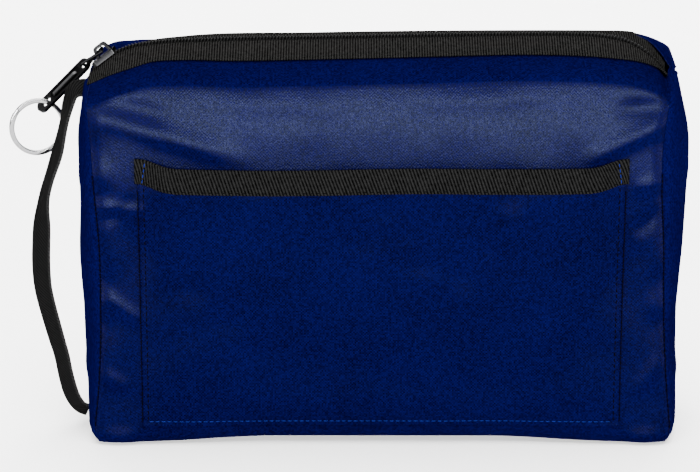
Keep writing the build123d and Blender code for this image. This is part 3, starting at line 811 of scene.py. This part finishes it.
def make_pocket_stitches_and_edge_shadow(wall, binding):
    """Topstitching round the pocket, at its side edges and on the binding, and a painted shadow line of dark
    thread along each folded side edge.
    """
    inset = STITCH_INSET
    forward = np.array([0.0, -1.0, 0.0])
    for name, x in (("left", POCKET_X[0] + inset), ("right", POCKET_X[1] - inset)):
        z = np.linspace(POCKET_FOOT + inset, float(lip_height(np.array(x))) - 0.6, 60)
        y = pocket_depth(np.full_like(z, x), z, wall) - 0.02
        path = np.stack([np.full_like(z, x), y, z], axis=1)
        stitch_row(f"pocket_stitch_{name}", path, np.tile(forward, (len(z), 1)), BLACK_THREAD, radius=0.22)
        # Painted shadow: black thread dashes set nearly end to end along each side's folded edge draw the fold's
        # shadow line.
        rim = path + np.array([math.copysign(inset - 0.15, x), 0.0, 0.0])
        rim[:, 1] = pocket_depth(rim[:, 0], z, wall) - 0.30
        stitch_row(f"pocket_edge_painted_shadow_{name}", rim, np.tile(forward, (len(z), 1)), BLACK_THREAD,
                   pitch=2.1, length=2.0, radius=0.20)
    x = np.linspace(POCKET_X[0] + inset, POCKET_X[1] - inset, 150)
    z = np.full_like(x, POCKET_FOOT + inset)
    path = np.stack([x, pocket_depth(x, z, wall) - 0.02, z], axis=1)
    stitch_row("pocket_stitch_foot", path, np.tile(forward, (len(x), 1)), BLUE_THREAD)
    path, tall, out = binding
    for name, place in (("left", 3.4), ("right", -3.4)):
        at = path[0, 0] + place if place > 0 else path[-1, 0] + place
        nearest = int(np.argmin(np.abs(path[:, 0] - at)))
        steps = np.linspace(-4.6, 4.6, 20)
        line = path[nearest] + tall[nearest] * steps[:, None] + out[nearest] * 0.86
        stitch_row(f"binding_stitch_{name}", line, np.tile(out[nearest], (len(steps), 1)), BLUE_THREAD,
                   pitch=2.2, length=1.6)
    along = path[4:-4] - tall[4:-4] * 3.9 + out[4:-4] * 0.84
    stitch_row("binding_stitch_edge", along, out[4:-4], BLACK_THREAD, pitch=2.6, radius=0.16)


# ---------------------------------------------------------------- zipper
def make_tape(name, side, node):
    """Zipper tape: level beside the coil, then sloping to lap over the cloth's folded edge."""
    edge = FRONT_EDGE if side < 0 else REAR_EDGE
    # Points lie closer together where the chain dips at both ends.
    x = np.concatenate([np.linspace(-116.4, -92, 60), np.linspace(-91.5, 84, 190),
                        np.linspace(84.5, 113.4, 70)])
    far_y = np.abs(curve_through(edge, x, 1)) + 0.3
    drop = zip_height(x) - curve_through(edge, x, 2) - 0.5
    share = np.linspace(0, 1, 26)
    near_y = np.minimum(2.0, far_y - 1.0)
    across = near_y[:, None] + (far_y - near_y)[:, None] * share[None, :]
    bend = smooth((share - 0.12) / 0.75)[None, :] * 0.35 + share[None, :] ** 1.4 * 0.65
    crown = 0.45 * bell((share - 0.25) / 0.18)[None, :]
    fall = 0.5 + (drop[:, None] - 0.5) * bend - crown
    points = np.stack([np.repeat(x[:, None], len(share), axis=1), side * across,
                       zip_height(x)[:, None] - fall], axis=-1)
    uvs = cloth_uvs(points)
    uvs[..., 0] = np.cumsum(np.concatenate([[0], np.hypot(np.diff(x), np.diff(zip_height(x)))]))[:, None]
    piece = sheet_grid(name, points, uvs, TAPE, thick=TAPE_THICK, flip=side < 0)
    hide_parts(node)
    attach(piece, "pouch")


COIL_PITCH = 1.3
COIL_END = 112.6
COIL_WIRE = 0.31             # radius of the monofilament


def make_coil(name, side, node):
    """Nylon coil: a flattened helix whose loops pass between those of the other half."""
    start = SLIDER_X - 1.0
    turns = int((COIL_END - start) / COIL_PITCH)
    per_turn = 12
    t = np.arange(turns * per_turn + 1) / per_turn
    x = start + t * COIL_PITCH + (COIL_PITCH / 2 if side > 0 else 0.0)
    x = np.minimum(x, COIL_END)
    turn = 2 * math.pi * t
    # Each loop is an oval that reaches 0.4 mm past the middle, between two loops of the other half.
    wide = side * (1.25 + 1.65 * np.cos(turn))
    tall = 0.82 * np.sin(turn) + 0.25
    slope = np.gradient(zip_height(x), x + 1e-6 * np.arange(len(x)))
    length = np.sqrt(1 + slope**2)
    path = np.stack([x - tall * slope / length, wide, zip_height(x) + tall / length], axis=1)
    ahead = unit(np.gradient(path, axis=0))
    reference = np.tile([1.0, 0.0, 0.0], (len(path), 1))
    across = unit(np.cross(ahead, reference))
    up = np.cross(ahead, across)
    ring = np.array([(COIL_WIRE * math.cos(k * math.pi / 3), COIL_WIRE * math.sin(k * math.pi / 3))
                     for k in range(6)])
    piece = swept(name, path, across, up, ring, COIL)
    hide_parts(node)
    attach(piece, "pouch")


# ---------------------------------------------------------------- strap
# The strap's centre line, x and height from its top end down, and its twist in degrees by share of length.
STRAP_CENTRE = [(-117.4, 140.6), (-120.4, 140.4), (-122.9, 138.8), (-124.2, 135.6), (-125.5, 131.3),
                (-126.9, 125.1), (-128.4, 118.9), (-129.9, 113.5), (-133.4, 103.3), (-135.4, 96.3),
                (-136.6, 88.0), (-137.5, 76.0), (-137.8, 65.4), (-136.9, 55.0), (-132.9, 37.5),
                (-130.8, 29.2), (-129.2, 20.0), (-127.2, 12.2), (-124.2, 7.2), (-120.6, 5.4)]
STRAP_TWIST = [(0.0, 34), (0.07, 30), (0.13, 22), (0.22, 28), (0.30, 24), (0.37, 32), (0.43, 50), (0.5, 54),
               (0.62, 54), (0.76, 50), (0.84, 46), (0.92, 48), (1.0, 46)]


def make_strap():
    """Wrist strap: a twill-woven webbing that twists as it bows out from its sewn ends."""
    count = 220
    path = path_through([(x, STRAP_Y, z) for x, z in STRAP_CENTRE], count)
    share = np.linspace(0, 1, count)
    ahead = unit(np.gradient(path, axis=0))
    level = np.tile([0.0, 1.0, 0.0], (count, 1))
    beside = unit(np.cross(level, ahead))
    turn = np.radians(curve_through(STRAP_TWIST, share))[:, None]
    across = unit(level * np.cos(turn) + beside * np.sin(turn))
    out = unit(np.cross(ahead, across))
    width = STRAP_HIGH[1] - STRAP_LOW[1] - 0.4
    section = refined(rounded_strip(width, STRAP_THICK, corner=0.5), 0.9)
    piece = swept("strap_webbing", path, across, out, section, WEBBING)
    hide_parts("wrist_strap", "strap_end_top", "strap_end_bottom")
    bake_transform(piece)


# ---------------------------------------------------------------- metal parts
def paint(name, material):
    """Give a CAD node a better material."""
    node = frame["nodes"][name]
    for slot in node.material_slots:
        slot.link = "OBJECT"
        slot.material = material


RING_RADIUS = 10.65          # to the middle of the wire
RING_STEP = 0.92             # from one turn of wire to the next


def make_split_ring():
    """Two flat turns of spring wire, with one step from the first over to the second."""
    mount = next(entry for entry in frame["record"]["mounts"] if entry["name"] == "split_ring")
    centre = np.array(mount["pos_m"]) / MM
    normal = np.array(mount["axis"])
    normal = normal / np.linalg.norm(normal)
    hinge = np.array(joint("ring_swing")["axis"])
    hinge = hinge / np.linalg.norm(hinge)
    second = np.cross(normal, hinge)
    full_turn = 2 * math.pi
    t = np.linspace(0, 2 * full_turn * 0.985, 360)
    turn = math.radians(200) + t
    lift = -RING_STEP / 2 + RING_STEP * smooth((t - full_turn * 0.93) / 0.9)
    circle = (np.cos(turn)[:, None] * hinge + np.sin(turn)[:, None] * second)
    path = centre + circle * RING_RADIUS + normal * lift[:, None]
    section = rounded_strip(RING_WIRE_WIDTH, RING_WIRE_THICK, corner=0.36)
    piece = swept("split_ring_wire", path, circle, np.tile(normal, (len(t), 1)), section, NICKEL)
    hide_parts("split_ring")
    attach(piece, "ring")


TAB_FACE = 0.51              # from the tab's middle plane to its recess's floor on each face


def make_tab_inlay():
    """Brushed grey floor of the tab's recess, a hair above the casting on both faces."""
    eye = np.array(joint("tab_swing")["pos_m"]) / MM
    slot = np.array(joint("ring_swing")["pos_m"]) / MM
    along = unit(slot - eye)
    wide = unit(np.array(joint("tab_swing")["axis"], float))
    wide = unit(wide - along * np.dot(wide, along))
    face = np.cross(along, wide)
    # A slot with round ends: its start and end along the tab, and half its width.
    start, end, half = 4.1, 17.7, 1.72
    outline = []
    for middle, first in ((end - half, -90), (start + half, 90)):
        for step in range(13):
            turn = math.radians(first + 15 * step)
            outline.append((middle + half * math.cos(turn), half * math.sin(turn)))
    points, faces, uvs = [], [], []
    count = len(outline)
    for level in (-TAB_FACE, TAB_FACE):
        for u, v in outline:
            points.append(eye + along * u + wide * v + face * level)
            uvs.append((v, u))
    faces.append(tuple(range(count))[::-1])
    faces.append(tuple(range(count, 2 * count)))
    for step in range(count):
        beside = (step + 1) % count
        faces.append((step, beside, count + beside, count + step))
    piece = new_mesh("tab_inlay", points, faces, uvs, TAB_INLAY, smooth_shading=False)
    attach(piece, "tab")


def make_metal():
    """Slider, link and tab in plated metal, the tab's brushed recess, and the split ring."""
    make_tab_inlay()
    paint("slider_body", GUNMETAL)
    paint("pull_link", GUNMETAL)
    paint("pull_tab", TAB_METAL)
    make_split_ring()


def make_seam_stitches_and_shade(wrap):
    """Dark lockstitches sunk into the front seams, set so close that they also draw the seam's dark line:
    stitching and painted shade.
    """
    for name, column, inner in (("left", 0, 1), ("right", -1, -2)):
        edge = wrap[column]
        keep = (edge[:, 1] < -24.0) & (edge[:, 2] > 6.0) & (edge[:, 2] < 112.0)    # the front's straight part
        path = edge[keep][::-1]
        inward = unit(wrap[inner][keep][::-1] - path)
        out = unit(np.array([[0.0, -1.0, 0.0]]) - inward * -inward[:, 1:2])
        # Black thread, nearly continuous: the seam's stitching and a painted shade line along it.
        stitch_row(f"seam_stitch_and_shade_{name}", path + out * 0.12, out, BLACK_THREAD, pitch=2.1, length=2.0,
                   radius=0.24)


SEAM_TAPE_TOP = 128.0


def make_seam_tapes(wrap):
    """Binding folded over the raw edges just inside each gusset seam."""
    for name, column, side in (("left", 0, -1), ("right", -1, 1)):
        edge = wrap[column]
        low = int(np.argmax(edge[:, 2] < SEAM_TAPE_TOP))
        high = len(edge) - int(np.argmax(edge[::-1, 2] < SEAM_TAPE_TOP))
        centre = path_through(edge[low:high:6], 120)
        centre[:, 0] -= side * 4.2
        centre[:, 1] *= 0.925
        centre[:, 2] = 1.9 + centre[:, 2] * 0.975
        ahead = unit(np.gradient(centre, axis=0))
        along = np.tile([1.0, 0.0, 0.0], (len(centre), 1))
        along = unit(along - ahead * np.sum(along * ahead, axis=1, keepdims=True))
        piece = swept(f"seam_binding_{name}", centre, along, np.cross(ahead, along),
                      rounded_strip(SEAM_TAPE_WIDTH, SEAM_TAPE_THICK), SEAM_TAPE)
        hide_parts(f"seam_tape_{name}")
        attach(piece, "pouch")


# ---------------------------------------------------------------- camera, light, floor
def look_from(thing, place, target):
    """Put a camera or light at a place and turn it to a target, in metres."""
    thing.location = place
    thing.rotation_euler = (Vector(target) - Vector(place)).to_track_quat("-Z", "Y").to_euler()


def soft_light(name, place, target, size, power):
    """A white rectangular soft box, in metres and watts."""
    data = bpy.data.lights.new(name, "AREA")
    data.shape = "RECTANGLE"
    data.size, data.size_y = size
    data.energy = power
    light = bpy.data.objects.new(name, data)
    bpy.context.scene.collection.objects.link(light)
    look_from(light, place, target)


CAMERA_TARGET = Vector((-0.0127, 0.0, 0.0774))
CAMERA_ELEVATION = math.radians(15.0)
CAMERA_DISTANCE = 0.9
CAMERA_LENS = 2207.0 / 700.0 * 36.0      # millimetres, for a 36 mm wide sensor
# Soft boxes: name, place, target, size, power.
SOFT_BOXES = [("front_box", (0.0, -1.6, 0.42), (0, 0, 0.12), (2.2, 0.26), 140.0),
              ("back_box", (0.0, 1.5, 1.0), (0, 0, 0.08), (2.2, 0.5), 110.0),
              ("top_box", (0.0, -0.1, 1.6), (0, 0, 0), (2.4, 2.4), 165.0)]
WORLD_STRENGTH = 0.6
FLOOR_REACH = 3000


def make_stage():
    """Camera, floor, three soft boxes and an even white surround; places in metres."""
    scene = bpy.context.scene
    data = bpy.data.cameras.new("camera")
    data.lens = CAMERA_LENS
    camera = bpy.data.objects.new("camera", data)
    scene.collection.objects.link(camera)
    back = Vector((0.0, -math.cos(CAMERA_ELEVATION), math.sin(CAMERA_ELEVATION)))
    look_from(camera, CAMERA_TARGET + back * CAMERA_DISTANCE, CAMERA_TARGET)
    scene.camera = camera
    far = FLOOR_REACH
    floor = new_mesh("floor", [(-far, -far, 0), (far, -far, 0), (far, far, 0), (-far, far, 0)],
                     [(0, 1, 2, 3)], material=floor_material(), smooth_shading=False)
    for box in SOFT_BOXES:
        soft_light(*box)
    world = bpy.data.worlds.new("studio")
    scene.world = world
    world.use_nodes = True
    background = world.node_tree.nodes["Background"]
    background.inputs["Color"].default_value = (1, 1, 1, 1)
    background.inputs["Strength"].default_value = WORLD_STRENGTH


# ---------------------------------------------------------------- build
make_stage()
wrap_grid = make_wrap()
make_gusset("gusset_cloth_left", -1, wrap_grid)
make_gusset("gusset_cloth_right", 1, wrap_grid)
wall_depth = front_wall(wrap_grid)
make_pocket(wall_depth)
binding_lines = make_binding(wall_depth)
make_pocket_stitches_and_edge_shadow(wall_depth, binding_lines)
make_tape("zip_tape_front_cloth", -1, "zip_tape_front")
make_tape("zip_tape_rear_cloth", 1, "zip_tape_rear")
make_coil("coil_front", -1, "zip_coil_front")
make_coil("coil_rear", 1, "zip_coil_rear")
make_strap()
make_metal()
make_seam_stitches_and_shade(wrap_grid)
make_seam_tapes(wrap_grid)
